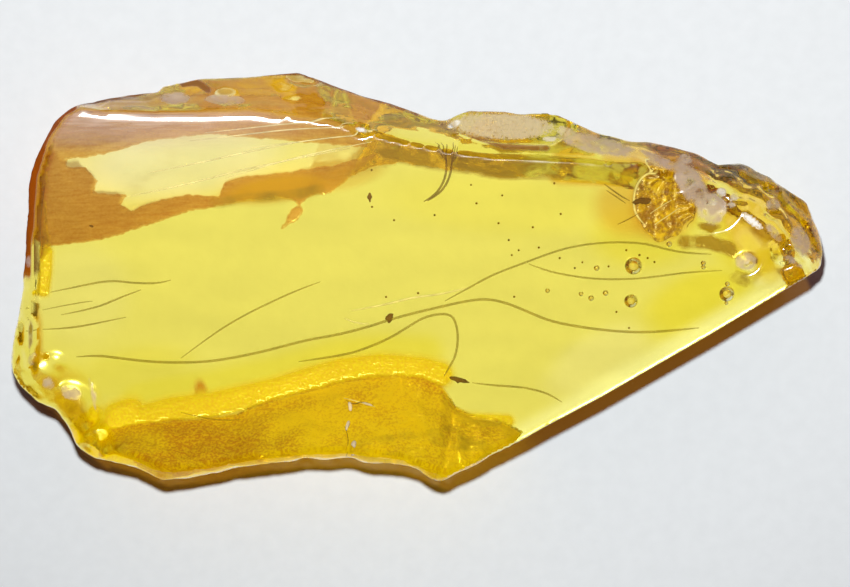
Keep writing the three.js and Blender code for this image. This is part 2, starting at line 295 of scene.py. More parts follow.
# Threads inside the amber: their radius and height in millimetres, then their points.
FLOW_LINES = [
    (0.075, 3.4, [
        (-21.1, -5), (-19.9, -4.9), (-18.7, -5.05), (-17.1, -5.25), (-15.6, -5.35), (-14, -5.35),
        (-12.5, -5.25), (-10.3, -4.85), (-8.5, -4.4), (-6.8, -3.95), (-5, -3.65), (-3.2, -3.2),
        (-1.55, -2.65), (-0.25, -2.3), (1.45, -1.9), (3, -1.55), (4.2, -1.4), (5.35, -1.6),
        (6.6, -2.1), (8.2, -2.8), (10.05, -3.15), (12, -3.4), (13.95, -3.5), (16.15, -3.35),
        (17.45, -3.2)]),
    (0.07, 4.2, [
        (-7.35, -5.3), (-5.65, -5.05), (-4.2, -4.8), (-3.25, -4.5), (-1.8, -3.9), (-0.65, -3.2),
        (0.3, -2.6), (1.2, -2.35), (1.95, -2.35), (2.35, -2.7), (2.55, -3.75), (2.4, -4.9),
        (1.95, -5.7), (1.65, -6.2)]),
    (0.06, 3.8, [
        (3.4, -6.6), (4.45, -6.75), (6.2, -6.85), (7.15, -7), (8.2, -7.3), (8.95, -7.8)]),
    (0.06, 4.8, [
        (1.7, -1.55), (3.25, -0.7), (4.5, 0), (5.75, 0.5), (6.45, 0.75), (7.9, 1.3), (9.25, 1.75),
        (11.05, 2.05), (12.8, 2.1), (14.2, 2), (15.6, 1.6), (16.85, 1.4), (18.2, 1.35)]),
    (0.055, 4.4, [
        (6.9, 0.75), (7.9, 0.35), (9.25, 0.05), (11.05, -0.2), (13.4, -0.2), (15.4, 0.05),
        (16.85, 0.25), (18.85, 0.35)]),
    (0.05, 3, [(-14.65, -5.1), (-12.8, -3.7), (-11.05, -2.6), (-9.35, -1.75), (-7.4, -0.85), (-6, -0.35)]),
    (0.06, 4, [(-22.7, -1), (-20.8, -0.6), (-19, -0.25), (-17.4, -0.45), (-15.9, -0.45), (-15.25, -0.25)]),
    (0.05, 3.6, [(-23.2, -2.1), (-21.1, -1.65), (-20.1, -1.55)]),
    (0.06, 3.2, [(-22.05, -2.4), (-19.9, -2), (-18.35, -1.3), (-17.1, -0.85)]),
    (0.06, 2.8, [(-23.2, -3.3), (-21.75, -3.25), (-20.2, -3), (-18.05, -2.55)]),
    (0.04, 1.2, [(-14.65, -8.45), (-13.1, -8.85), (-11.85, -8.95), (-10.95, -8.9)]),
]
PALE_LINES = [
    (0.05, 4.6, [(-4.5, -2.6), (-3.7, -3), (-3, -2.95)]),
    (0.05, 4.6, [(-4.1, -2.15), (-2.05, -1.8), (-0.25, -1.3), (1.45, -1.15), (3.25, -0.7)]),
    (0.045, 6, [(-13.1, 8.85), (-10.3, 9.15), (-7.25, 9.5), (-4.45, 9.55)]),
    (0.045, 6, [(-14.05, 8.35), (-10.95, 8.7), (-7.25, 9.15), (-4.05, 9.2)]),
    (0.05, 5.6, [(-16.5, 6.4), (-13.4, 7), (-10, 7.8), (-6.6, 8.4)]),
    (0.05, 5.2, [(-17.7, 4.95), (-14.05, 5.7), (-10.95, 6.55), (-7.25, 7.3), (-4.15, 7.9)]),
    (0.045, 5.4, [(-11.85, 6.05), (-8.8, 7), (-5.4, 7.8), (-2.8, 8.3)]),
    (0.045, 5.8, [(-10.3, 7.9), (-7.25, 8.3), (-4.15, 8.7), (-2.6, 8.7)]),
    (0.08, 3.6, [
        (14.75, 6.6), (14.1, 6.3), (13.6, 5.7), (13.4, 4.95), (13.4, 4.2), (13.65, 3.6),
        (14.05, 3.2)]),
    (0.05, 3.8, [(14.7, 3.2), (15.35, 3.6), (16.2, 4.2)]),
    (0.05, 3.8, [(14.4, 3.85), (15, 4.3), (15.75, 4.7)]),
    (0.04, 2.6, [(-4.55, -7.55), (-3.9, -7.7), (-3.15, -7.95), (-2.6, -8.1)]),
]
CRACK_LINES = [
    (0.07, 5.6, [(1.75, 7.75), (1.85, 6.85), (1.7, 5.95), (1.3, 5.25), (0.8, 4.8), (0.4, 4.6)]),
    (0.07, 5.2, [(2.15, 7.75), (2.15, 6.8), (1.95, 5.95), (1.55, 5.3), (1.05, 4.9), (0.65, 4.65)]),
    (0.05, 5.8, [(1.05, 7.95), (1.4, 7.65), (1.75, 7.15)]),
    (0.05, 5.8, [(1.4, 7.95), (1.65, 7.55), (1.85, 7)]),
    (0.05, 5.8, [(2.35, 7.8), (2.25, 7.3), (2.1, 6.8)]),
    (0.05, 5.8, [(2.5, 7.7), (2.4, 7.35), (2.2, 7.05)]),
    (0.05, 4.6, [(11.55, 5.7), (12.1, 5.3), (12.65, 4.9), (13.15, 4.65)]),
    (0.05, 4.4, [(11.7, 5.3), (12.25, 4.95), (12.9, 4.5)]),
    (0.05, 4.4, [(12.4, 3.2), (13, 3.45), (13.65, 3.85)]),
    (0.05, 3.4, [(15.35, 6.5), (16.1, 6), (16.6, 5.4), (16.9, 4.8), (16.95, 4.2), (16.7, 3)]),
    (0.04, 4.6, [(-4.4, -7.7), (-3.9, -8), (-3.4, -7.7), (-2.7, -8)]),
    (0.04, 4.8, [(-4.5, -9.3), (-4.2, -9.9), (-4.3, -10.5)]),
]

# Bubbles as x, y, height and radius, and the smallest specks as x, y and height.
BUBBLES = [
    (13.38, 0.62, 3.6, 0.55), (13.23, -1.54, 3.0, 0.43), (19.15, -1.11, 3.8, 0.48),
    (19.18, -0.49, 4.2, 0.15), (19.12, -1.67, 4.2, 0.12), (11.1, 0.5, 4, 0.18),
    (10.76, -1.36, 3.4, 0.18), (11.65, -1.05, 4.4, 0.18), (10.14, -1.1, 3.8, 0.15),
    (8.07, -0.9, 3.2, 0.15), (15.58, 1.98, 4.2, 0.18), (17.7, 0.8, 4, 0.16), (17.7, 0.55, 4, 0.14),
]
SPECKS = [
    (6.28, 1.6, 4), (5.85, 1.3, 3), (7.52, 1.76, 5), (11.84, 0.59, 4), (6, -1.28, 3),
    (13.1, -3.21, 4), (8.87, 3.83, 5), (8.48, 5.74, 4), (12.33, -2.22, 3), (-2.79, 4.28, 4),
    (-2.82, 6.54, 5), (3.67, 4.51, 4), (3.32, 5.64, 5), (5.26, 5, 3), (1.07, 3.77, 4),
    (-1.44, 3.46, 3), (5.03, 3.27, 4), (5.66, 2.22, 5), (7.15, 3.02, 4), (-1.93, -1.3, 3),
    (0.05, -1.05, 4), (13.75, 1.3, 4), (14.24, 1.11, 5), (12.95, 1.6, 3), (14.68, 0.86, 4),
    (10.23, 0.86, 3), (9.74, 0.49, 4), (8.81, 1.11, 5),
]
SPECK_RADIUS = 0.07

# Threads narrow to this share of their radius at both ends, and crumbs are crinkled by noise
# of this width in millimetres.
THREAD_TIP = 0.35
CRINKLE_SIZE = 0.2

# Flat lumps of debris: x, y and height, half length, half width, half height and turn.
DEBRIS = [
    (-1.74, -2.6, 3.4, 0.3, 0.2, 0.15, 60), (-2.94, 4.88, 4.6, 0.13, 0.27, 0.1, 0),
    (13.9, 4.63, 3.9, 0.5, 0.2, 0.12, 8), (2.55, -6.42, 3.8, 0.55, 0.17, 0.16, -14),
    (-20.2, 3.1, 2.2, 0.12, 0.07, 0.07, -20),
]

# Pale flakes of crushed amber beside the south break, in the same order.
FLAKES = [
    (-4.15, -8.1, 5.0, 0.13, 0.25, 0.08, 10), (-4.3, -9.2, 5.3, 0.15, 0.32, 0.08, -8),
    (-3.95, -10.4, 5.7, 0.2, 0.16, 0.08, 20), (-3.1, -7.9, 4.8, 0.3, 0.07, 0.06, -20),
]

# The round stress crack at the pointed end: its centre, half axes and tilt.
SPANGLE_CENTRE = (15.2, 4.5, 2.9)
SPANGLE_AXES = (1.8, 2.3, 0.1)
SPANGLE_TILT = math.radians(14)

# How that crack is sprung. Ripples round its middle, buckles and a ragged edge each have a depth
# and how often they come, as shares of its half axes, and the first two lift it by this many
# millimetres.
SPANGLE_RIPPLES = (0.12, 9)
SPANGLE_BUCKLES = (0.5, 4)
SPANGLE_EDGE = (0.12, 2.5)
SPANGLE_LIFT = 0.25


def linear_colour(hex_colour, alpha=1.0):
    """An sRGB hex colour as a linear RGBA tuple."""
    digits = hex_colour.lstrip("#")
    channels = [int(digits[i:i + 2], 16) / 255 for i in (0, 2, 4)]
    linear = [c / 12.92 if c <= 0.04045 else ((c + 0.055) / 1.055) ** 2.4 for c in channels]
    return (*linear, alpha)


def add_node(tree, kind, settings=None, **inputs):
    """Adds a node: settings are its own properties, and inputs are values or sockets by name."""
    node = tree.nodes.new(kind)
    for name, value in (settings or {}).items():
        setattr(node, name, value)
    for name, value in inputs.items():
        key = int(name[1:]) if name[0] == "i" and name[1:].isdigit() else name.replace("_", " ")
        if isinstance(value, bpy.types.NodeSocket):
            tree.links.new(value, node.inputs[key])
        else:
            node.inputs[key].default_value = value
    return node


class BodySettings(bpy.types.PropertyGroup):
    """Sizes of the amber body's fine surface."""
    cell: FloatProperty(
        name="Cell", description="Spacing of the fine surface mesh", default=0.18 * MM,
        unit="LENGTH", precision=5)
    lump_size: FloatProperty(
        name="Lump size", description="Width of the lumps on broken sides", default=1.6 * MM,
        unit="LENGTH", precision=5)
    lump_depth: FloatProperty(
        name="Lump depth", description="Depth of the lumps on broken sides", default=0.22 * MM,
        unit="LENGTH", precision=5)
    hackle_size: FloatProperty(
        name="Hackle size", description="Width of the small steps on broken sides",
        default=0.55 * MM, unit="LENGTH", precision=5)
    hackle_depth: FloatProperty(
        name="Hackle depth", description="Depth of the small steps on broken sides",
        default=0.07 * MM, unit="LENGTH", precision=5)
    rib_size: FloatProperty(
        name="Rib size", description="Spacing of the break ribs along the rim", default=0.9 * MM,
        unit="LENGTH", precision=5)
    rib_depth: FloatProperty(
        name="Rib depth", description="Depth of the break ribs along the rim",
        default=0.06 * MM, unit="LENGTH", precision=5)
    sharp_angle: FloatProperty(
        name="Sharp angle", description="Edges that turn more than this stay crisp",
        default=math.radians(24), subtype="ANGLE")


class FinishSettings(bpy.types.PropertyGroup):
    """Colours of the amber and of its skin."""
    clear_tint: FloatVectorProperty(
        name="Clear tint", description="Lamp light let through by plain clear amber",
        subtype="COLOR", size=4, soft_max=3, default=(1.03, 1.01, 0.9, 1.0))
    pale_tint: FloatVectorProperty(
        name="Pale tint", description="Lamp light let through where the amber is palest",
        subtype="COLOR", size=4, soft_max=3, default=(1.08, 1.08, 1.75, 1.0))
    deep_tint: FloatVectorProperty(
        name="Deep tint", description="Lamp light let through where the amber is deepest",
        subtype="COLOR", size=4, soft_max=3, default=(1.03, 0.97, 0.3, 1.0))
    glow_tint: FloatVectorProperty(
        name="Glow tint", description="Lamp light gathered beside the sawn side",
        subtype="COLOR", size=4, soft_max=3, default=(1.24, 1.31, 2.4, 1.0))
    crust: FloatVectorProperty(
        name="Crust", description="Brown crust under the broad end", subtype="COLOR", size=4,
        default=linear_colour("#C07C28"))
    crust_pale: FloatVectorProperty(
        name="Pale crust", description="Worn spots of the crust", subtype="COLOR", size=4,
        default=linear_colour("#E8B878"))
    skin: FloatVectorProperty(
        name="Skin", description="Orange skin of the south bevel", subtype="COLOR", size=4,
        default=linear_colour("#D08C00"))
    skin_pale: FloatVectorProperty(
        name="Pale skin", description="Bright grains of that skin", subtype="COLOR", size=4,
        default=linear_colour("#FFDA00"))
    # Golden stain, and also a painted pool of the lamp light that the bevels gather beside them.
    gold_stain_and_painted_light: FloatVectorProperty(
        name="Gold", description="Golden stain beside the bevels", subtype="COLOR", size=4,
        default=linear_colour("#ECC400"))
    # These bright grains partly stand in for the strip's sparkle (painted glints).
    gold_pale: FloatVectorProperty(
        name="Pale gold", description="Bright grains of that stain", subtype="COLOR", size=4,
        default=linear_colour("#FFFA00"))
    stain: FloatVectorProperty(
        name="Stain", description="Smooth golden weathering under the rim", subtype="COLOR",
        size=4, default=linear_colour("#DCA808"))
    rind: FloatVectorProperty(
        name="Rind", description="Red brown wall under the west rim", subtype="COLOR", size=4,
        default=linear_colour("#B05400"))
    # Partly a dull stain, and mostly painted shade below the north wall, the scoop and a pit.
    olive_stain_and_painted_shade: FloatVectorProperty(
        name="Olive", description="Dull stain under the wall", subtype="COLOR", size=4,
        default=linear_colour("#A88A20"))
    brown: FloatVectorProperty(
        name="Brown", description="Brown weathering along the broken rim", subtype="COLOR", size=4,
        default=linear_colour("#8C5208"))
    frost: FloatVectorProperty(
        name="Frost", description="Frosted broken faces", subtype="COLOR", size=4,
        default=linear_colour("#E0D0CC"))
    haze: FloatVectorProperty(
        name="Haze", description="Fine scratches that catch the lamp on top", subtype="COLOR",
        size=4, default=linear_colour("#F4DCCC"))
    beige: FloatVectorProperty(
        name="Beige", description="Rough ledge", subtype="COLOR", size=4,
        default=linear_colour("#F0E2C0"))
    # Colour of the painted glints, and of a few pale specks on the ledge.
    specks_and_painted_glints: FloatVectorProperty(
        name="White", description="Crushed spots that glitter", subtype="COLOR", size=4,
        default=linear_colour("#FFFDF6"))
    shade: FloatVectorProperty(
        name="Shade", description="Light that steep faces let down to the floor",
        subtype="COLOR", size=4, default=(0.215, 0.08, 0.007, 1.0))
    fair_shade: FloatVectorProperty(
        name="Fair shade", description="Light that the steep faces of the north rim let down",
        subtype="COLOR", size=4, default=(0.6, 0.42, 0.1, 1.0))
    flow: FloatVectorProperty(
        name="Flow lines", description="Boundaries between flows of resin", subtype="COLOR", size=4,
        default=linear_colour("#A08A1C"))
    pale_line: FloatVectorProperty(
        name="Pale lines", description="Bright threads and the crack's rim", subtype="COLOR", size=4,
        default=linear_colour("#FFF4CC"))
    debris: FloatVectorProperty(
        name="Debris", description="Specks, bark crumbs and dirt in the crack", subtype="COLOR",
        size=4, default=linear_colour("#7A5410"))
    spangle: FloatVectorProperty(
        name="Spangle", description="Orange glitter of the stress crack", subtype="COLOR", size=4,
        default=linear_colour("#84560A"))


class StageSettings(bpy.types.PropertyGroup):
    """Lamp, surroundings, floor and camera."""
    key_strength: FloatProperty(
        name="Key strength", description="Irradiance of the key lamp", default=3.1)
    key_distance: FloatProperty(
        name="Key distance", description="From the piece to the key lamp", default=0.6,
        unit="LENGTH")
    key_cone: FloatProperty(
        name="Key cone", description="Opening of the key lamp's cone",
        default=math.radians(19), subtype="ANGLE")
    key_aim: FloatVectorProperty(
        name="Key aim", description="Point that the key lamp is turned to", subtype="TRANSLATION",
        size=3, default=(4 * MM, 24 * MM, 0.0))
    key_tilt: FloatProperty(
        name="Key tilt", description="How far the key lamp stands off the vertical",
        default=math.radians(7), subtype="ANGLE")
    key_turn: FloatProperty(
        name="Key turn", description="Where the key lamp stands round the piece",
        default=math.radians(102), subtype="ANGLE")
    key_width: FloatProperty(
        name="Key width", description="Apparent width of the key lamp",
        default=math.radians(2.5), subtype="ANGLE")
    floor_width: FloatProperty(
        name="Floor width", description="Side of the square floor", default=1.2, unit="LENGTH")
    paper: FloatVectorProperty(
        name="Paper", description="Colour of the floor", subtype="COLOR", size=4,
        default=linear_colour("#EBEFF1"))
    bright_side: FloatVectorProperty(
        name="Bright side", description="Room light from the lamp's side", subtype="COLOR",
        size=4, default=(0.3, 0.26, 0.27, 1.0))
    dark_side: FloatVectorProperty(
        name="Dark side", description="Room light from the other side", subtype="COLOR",
        size=4, default=(0.008, 0.008, 0.008, 1.0))
    backdrop: FloatVectorProperty(
        name="Backdrop", description="The room as seen directly and through the amber",
        subtype="COLOR", size=4, default=linear_colour("#D8DCDD"))
    lens: FloatProperty(
        name="Lens", description="Focal length", default=600.0, unit="CAMERA")


def gap_to_line(points, corners, closed=False):
    """How far each point is from the line through the corners, seen from above."""
    nearest = np.full(len(points), np.inf)
    ends = np.array(corners, float)
    starts = np.roll(ends, 1, axis=0)
    first = 0 if closed else 1
    for (ax, ay), (bx, by) in zip(starts[first:], ends[first:]):
        dx, dy = bx - ax, by - ay
        along = ((points[:, 0] - ax) * dx + (points[:, 1] - ay) * dy) / (dx * dx + dy * dy)
        along = np.clip(along, 0, 1)
        gap = np.hypot(points[:, 0] - ax - along * dx, points[:, 1] - ay - along * dy)
        nearest = np.minimum(nearest, gap)
    return nearest


def signed_distance(points, corners):
    """How far inside the outline each point lies, seen from above; negative outside."""
    inside = np.zeros(len(points), bool)
    ends = np.array(corners, float)
    for (ax, ay), (bx, by) in zip(np.roll(ends, 1, axis=0), ends):
        if ay != by:
            spans = (ay > points[:, 1]) != (by > points[:, 1])
            crossing = ax + (points[:, 1] - ay) * (bx - ax) / (by - ay)
            inside ^= spans & (points[:, 0] < crossing)
    gap = gap_to_line(points, corners, closed=True)
    return np.where(inside, gap, -gap)


def ramp(values, low, high):
    """0 up to low, 1 from high on, smooth between. Low may be the greater of the two."""
    share = np.clip((values - low) / (high - low), 0, 1)
    return share * share * (3 - 2 * share)


def points_and_normals(mesh):
    """The mesh's points and normals as arrays, the points in millimetres."""
    count = len(mesh.vertices)
    points = np.empty(count * 3)
    normals = np.empty(count * 3)
    mesh.vertices.foreach_get("co", points)
    mesh.vertex_normals.foreach_get("vector", normals)
    return points.reshape(-1, 3) / MM, normals.reshape(-1, 3)


def noise_at(points, size, seed):
    """Smooth noise of about -1 to 1 with features of that size."""
    shift = Vector([seed * step for step in SEED_STEPS])
    return np.array([noise.noise(Vector(p) / size + shift) for p in points])


def gap_to_sawn_side(points):
    """How far each point is from the sawn side."""
    return np.abs((points[:, :2] - np.array(SAWN_POINT)) @ np.array(SAWN_WAY))


def polished_gap(points):
    """How far each point is from the nearest flat polished or resting face."""
    return np.minimum(np.minimum(TOP - points[:, 2], points[:, 2]), gap_to_sawn_side(points))


def frame_copy(name):
    """A merged copy of the CAD solid as a new object."""
    shape = bmesh.new()
    shape.from_mesh(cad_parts[NODE].data)
    bmesh.ops.remove_doubles(shape, verts=shape.verts, dist=MERGE_GAP)
    mesh = bpy.data.meshes.new(name)
    shape.to_mesh(mesh)
    shape.free()
    piece = bpy.data.objects.new(name, mesh)
    bpy.context.scene.collection.objects.link(piece)
    return piece


def remesh(piece, cell):
    """Replaces the piece's mesh by an even one with cells of that width."""
    modifier = piece.modifiers.new("Even cells", "REMESH")
    modifier.mode = "VOXEL"
    modifier.voxel_size = cell
    graph = bpy.context.evaluated_depsgraph_get()
    mesh = bpy.data.meshes.new_from_object(piece.evaluated_get(graph))
    piece.modifiers.clear()
    piece.data = mesh


def carve(piece, settings):
    """Breaks up every face that isn't polished or rested on, and grinds the polished edge."""
    points, normals = points_and_normals(piece.data)
    steep_share = ramp(np.abs(normals[:, 2]), *FLAT_TO_STEEP)
    depth = FLAT_BREAK_SHARE + (1 - FLAT_BREAK_SHARE) * steep_share
    calm_north = 1 - CALM_LOSS * ramp(points[:, 1], *CALM_NORTH)
    broken = ramp(polished_gap(points), *BREAK_SHAPE) * depth * calm_north
    lumps = noise_at(points, settings.lump_size / MM, 1)
    hackles = noise_at(points, settings.hackle_size / MM, 2)
    ribs = np.sin(points[:, 2] * 2 * math.pi / (settings.rib_size / MM) + RIB_WANDER * lumps)
    height = (
        settings.lump_depth * 0.5 * lumps
        + settings.hackle_depth * (0.5 - np.abs(hackles))
        + settings.rib_depth * 0.5 * ribs * (normals[:, 2] > RIB_LOOKS_UP)
    )
    points += normals * (broken * height / MM)[:, None]
    on_top = points[:, 2] > TOP - TOP_REACH
    ground = np.clip(LAMP_EDGE_WIDTH - gap_to_line(points, LAMP_EDGE), 0, None)
    points[:, 2] -= on_top * ground * LAMP_EDGE_SLOPE
    points[:, 2] = np.clip(points[:, 2], 0, TOP)
    piece.data.vertices.foreach_set("co", (points * MM).ravel())
    piece.data.update()


def store(mesh, name, values):
    """Keeps one number for each point for the material to read."""
    attribute = mesh.attributes.new(name, "FLOAT", "POINT")
    attribute.data.foreach_set("value", values.astype(np.float32))


def cover(points, name):
    """How strongly the spots and strips of one finish cover each point, 0 to 1."""
    most = np.zeros(len(points))
    for x, y, half_length, half_width, turn, strength in SPOTS.get(name, []):
        along, across = math.cos(math.radians(turn)), math.sin(math.radians(turn))
        dx, dy = points[:, 0] - x, points[:, 1] - y
        away = np.hypot(
            (dx * along + dy * across) / half_length, (dy * along - dx * across) / half_width)
        most = np.maximum(most, strength * ramp(away, *SPOT_FADE))
    for line, half_width, strength in STRIPS.get(name, []):
        away = gap_to_line(points, line) / half_width
        most = np.maximum(most, strength * ramp(away, *STRIP_FADE))
    return most


def mark_regions(piece):
    """Stores where each finish of the skin lies, and where light, shade and glints are painted on it."""
    points, normals = points_and_normals(piece.data)
    down = ramp(normals[:, 2], *LOOKS_DOWN)
    up = 1 - down
    broken = ramp(polished_gap(points), *BREAK_FINISH)
    rim = broken * (points[:, 2] < TOP - RIM_START)
    crust = np.minimum(
        signed_distance(points, CRUST_OUTLINE), -signed_distance(points, WINDOW_OUTLINE))
    top = ramp(normals[:, 2], *LEVEL) * (points[:, 2] > TOP - TOP_REACH)
    from_haze = np.hypot(
        (points[:, 0] - HAZE_MIDDLE[0]) / HAZE_REACH[0],
        (points[:, 1] - HAZE_MIDDLE[1]) / HAZE_REACH[1])
    from_sawn = gap_to_sawn_side(points)
    skin = ramp(points[:, 1], *SKIN_SOUTH) * down * broken * ramp(points[:, 0], *SKIN_WEST)
    skin *= 1 - THIN_SKIN_LOSS * ramp(points[:, 0], *THIN_SKIN_WEST)
    ripe_east = RIPE_EAST_GAIN * ramp(points[:, 0], *RIPE_EAST)
    ripe = ripe_east + RIPE_PATCH_GAIN * noise_at(points, RIPE_PATCH, 4)
    values = {
        "crust": crust * down - 2 * up,
        "skin": skin,
        "ripe": skin * np.clip(ripe, *RIPE_RANGE),
        "brown": rim * up * cover(points, "brown"),
        "rind": np.maximum(down * broken, rim) * cover(points, "rind"),
        "frost": up * np.maximum(FAINT_FROST * rim, cover(points, "frost")),
        "beige": up * rim * cover(points, "beige"),
        # The white mark holds painted glints, and much of the olive one holds painted shade.
        "specks_and_painted_glints": up * cover(points, "specks_and_painted_glints"),
        "olive_stain_and_painted_shade": np.maximum(down, rim) * cover(points, "olive_stain_and_painted_shade"),
        "up": up,
        "haze": top * HAZE_STRENGTH * ramp(from_haze, *HAZE_FADE),
        "fair": ramp(points[:, 1], *FAIR_NORTH) * ramp(points[:, 0], *FAIR_EAST) * ramp(
            from_sawn, *FAIR_OFF_SAWN),
        "glow": (points[:, 2] < UNDERSIDE_REACH) * np.maximum(
            ramp(from_sawn, *GLOW_OFF_SAWN), cover(points, "glow")),
    }
    # The gold mark is partly a painted pool of the light that the bevels gather.
    for name in ("gold_stain_and_painted_light", "stain", "smear", "pale", "deep"):
        values[name] = down * cover(points, name)
    for name in MARKS:
        store(piece.data, name, values[name])


def mask_above_noise(tree, distance, noise_value, reach, softness):
    """1 where a distance in millimetres, shifted by noise up to half of reach, is above 0."""
    shift = add_node(
        tree, "ShaderNodeMapRange", Value=noise_value, To_Min=-reach / 2, To_Max=reach / 2)
    moved = add_node(
        tree, "ShaderNodeMath", {"operation": "ADD"}, i0=distance, i1=shift.outputs[0])
    return add_node(
        tree, "ShaderNodeMapRange", Value=moved.outputs[0], From_Min=-softness,
        From_Max=softness).outputs[0]


def worn(tree, mark, grit):
    """A mark broken up and frayed by the grit."""
    lifted = add_node(
        tree, "ShaderNodeMapRange", Value=grit, From_Min=0.3, From_Max=0.7, To_Min=0.6,
        To_Max=1.35)
    broken = add_node(tree, "ShaderNodeMath", MULTIPLY, i0=mark, i1=lifted.outputs[0])
    return add_node(
        tree, "ShaderNodeMapRange", Value=broken.outputs[0], From_Min=0.25,
        From_Max=0.95).outputs[0]


def new_material(name):
    """An empty material and its node tree."""
    material = bpy.data.materials.new(name)
    material.use_nodes = True
    material.node_tree.nodes.clear()
    return material, material.node_tree


def lit_through(tree, shader, lamp_colour):
    """The shader, with the lamp's light let straight through in that colour."""
    let_through = add_node(tree, "ShaderNodeBsdfTransparent", Color=lamp_colour)
    path = add_node(tree, "ShaderNodeLightPath")
    return add_node(
        tree, "ShaderNodeMixShader", i0=path.outputs["Is Shadow Ray"], i1=shader,
        i2=let_through.outputs[0]).outputs[0]


def amber_material(finish):
    """Fossil resin, broken, ground and polished: clear yellow, glossy and faintly scratched on
    top, matt and pale where it broke, with a thin brown weathering crust underneath. In places
    its colour also holds painted shade, painted light and painted glints."""
    material, tree = new_material("Polished_fossil_resin")
    place = add_node(tree, "ShaderNodeTexCoord").outputs["Object"]
    marks = {
        name: add_node(tree, "ShaderNodeAttribute", {"attribute_name": name}).outputs["Fac"]
        for name in MARKS
    }
    clear_white = (1.0, 1.0, 1.0, 1.0)

    ragged = add_node(
        tree, "ShaderNodeTexNoise", Vector=place, Scale=1 / (0.5 * MM), Detail=5.0).outputs["Fac"]
    grit = add_node(
        tree, "ShaderNodeTexNoise", Vector=place, Scale=1 / (0.16 * MM), Detail=4.0).outputs["Fac"]
    patches = add_node(
        tree, "ShaderNodeTexNoise", Vector=place, Scale=1 / (1.1 * MM), Detail=5.0).outputs["Fac"]
    grains = add_node(
        tree, "ShaderNodeMapRange", Value=grit, From_Min=0.4, From_Max=0.62).outputs[0]
    mottle = add_node(
        tree, "ShaderNodeMix", COLOUR_MIX, i0=0.45, i6=patches, i7=grains).outputs[2]
    brushed = add_node(
        tree, "ShaderNodeMapping", Vector=place, Scale=(0.12, 1.0, 1.0),
        Rotation=(0.0, 0.0, math.radians(-3)))
    scratches = add_node(
        tree, "ShaderNodeTexNoise", Vector=brushed.outputs[0], Scale=1 / (0.2 * MM), Detail=3.0)
    streaks = add_node(
        tree, "ShaderNodeMapRange", Value=scratches.outputs["Fac"], From_Min=0.3,
        From_Max=0.7).outputs[0]
    crust_mask = mask_above_noise(tree, marks["crust"], ragged, reach=0.3, softness=0.07)
    crust_share = add_node(
        tree, "ShaderNodeMix", COLOUR_MIX, i0=0.5, i6=mottle, i7=streaks).outputs[2]
    crust_tone = add_node(
        tree, "ShaderNodeMix", COLOUR_MIX, i0=crust_share, i6=tuple(finish.crust),
        i7=tuple(finish.crust_pale)).outputs[2]
    speckle = add_node(
        tree, "ShaderNodeMix", COLOUR_MIX, i0=0.5, i6=mottle, i7=grains).outputs[2]
    ripeness = add_node(
        tree, "ShaderNodeMath", {"operation": "MULTIPLY_ADD"}, i0=marks["ripe"], i1=0.5,
        i2=speckle)
    skin_tone = add_node(
        tree, "ShaderNodeMix", COLOUR_MIX, i0=ripeness.outputs[0], i6=tuple(finish.skin),
        i7=tuple(finish.skin_pale)).outputs[2]
    # Gold: a stain, brightened to paint the light that the bevels gather, with its pale grains as painted
    # sparkle.
    gold_tone = add_node(
        tree, "ShaderNodeMix", COLOUR_MIX, i0=mottle, i6=tuple(finish.gold_stain_and_painted_light),
        i7=tuple(finish.gold_pale)).outputs[2]
    # Each layer: where it lies, its colour, how much of the light it stops at most, and how soon
    # its colour is full.
    layers = [
        (crust_mask, crust_tone, 0.6, 4.0),
        (marks["stain"], tuple(finish.stain), 0.4, 1.3),
        (marks["smear"], tuple(finish.skin), 0.7, 1.3),
        (marks["gold_stain_and_painted_light"], gold_tone, 0.95, 1.6),
        (marks["skin"], skin_tone, 0.93, 2.5),
        # Olive: a dull stain, and mostly painted shade below the north wall, the scoop, a pit and the
        # crust's edge.
        (worn(tree, marks["olive_stain_and_painted_shade"], patches), tuple(finish.olive_stain_and_painted_shade), 0.7, 1.2),
        (worn(tree, marks["brown"], patches), tuple(finish.brown), 0.3, 1.5),
        (marks["rind"], tuple(finish.rind), 0.85, 1.5),
        (worn(tree, marks["frost"], ragged), tuple(finish.frost), 0.35, 1.0),
        (worn(tree, marks["beige"], grit), tuple(finish.beige), 0.4, 1.0),
        # White: painted glints where the lamp catches the polish and the broken end, and a few pale specks
        # on the ledge.
        (worn(tree, marks["specks_and_painted_glints"], patches), tuple(finish.specks_and_painted_glints), 0.9, 1.0),
    ]
    colour, block = clear_white, 0.0
    for share, tone, most, spread in layers:
        spread_share = add_node(tree, "ShaderNodeMath", MULTIPLY, i0=share, i1=spread)
        colour = add_node(
            tree, "ShaderNodeMix", COLOUR_MIX, i0=spread_share.outputs[0], i6=colour,
            i7=tone).outputs[2]
        squared = add_node(tree, "ShaderNodeMath", MULTIPLY, i0=share, i1=share)
        stopped = add_node(tree, "ShaderNodeMath", MULTIPLY, i0=squared.outputs[0], i1=most)
        block = add_node(
            tree, "ShaderNodeMath", LARGER, i0=block, i1=stopped.outputs[0]).outputs[0]
    streaky = add_node(
        tree, "ShaderNodeMapRange", Value=streaks, To_Min=0.6, To_Max=1.3)
    haze = add_node(
        tree, "ShaderNodeMath", MULTIPLY, i0=marks["haze"], i1=streaky.outputs[0]).outputs[0]
    haze_share = add_node(tree, "ShaderNodeMath", MULTIPLY, i0=haze, i1=4.0)
    colour = add_node(
        tree, "ShaderNodeMix", COLOUR_MIX, i0=haze_share.outputs[0], i6=colour,
        i7=tuple(finish.haze)).outputs[2]
    covered = add_node(tree, "ShaderNodeMath", LARGER, i0=block, i1=haze)
    clear = add_node(
        tree, "ShaderNodeMath", {"operation": "SUBTRACT"}, i0=1.0,
        i1=covered.outputs[0]).outputs[0]
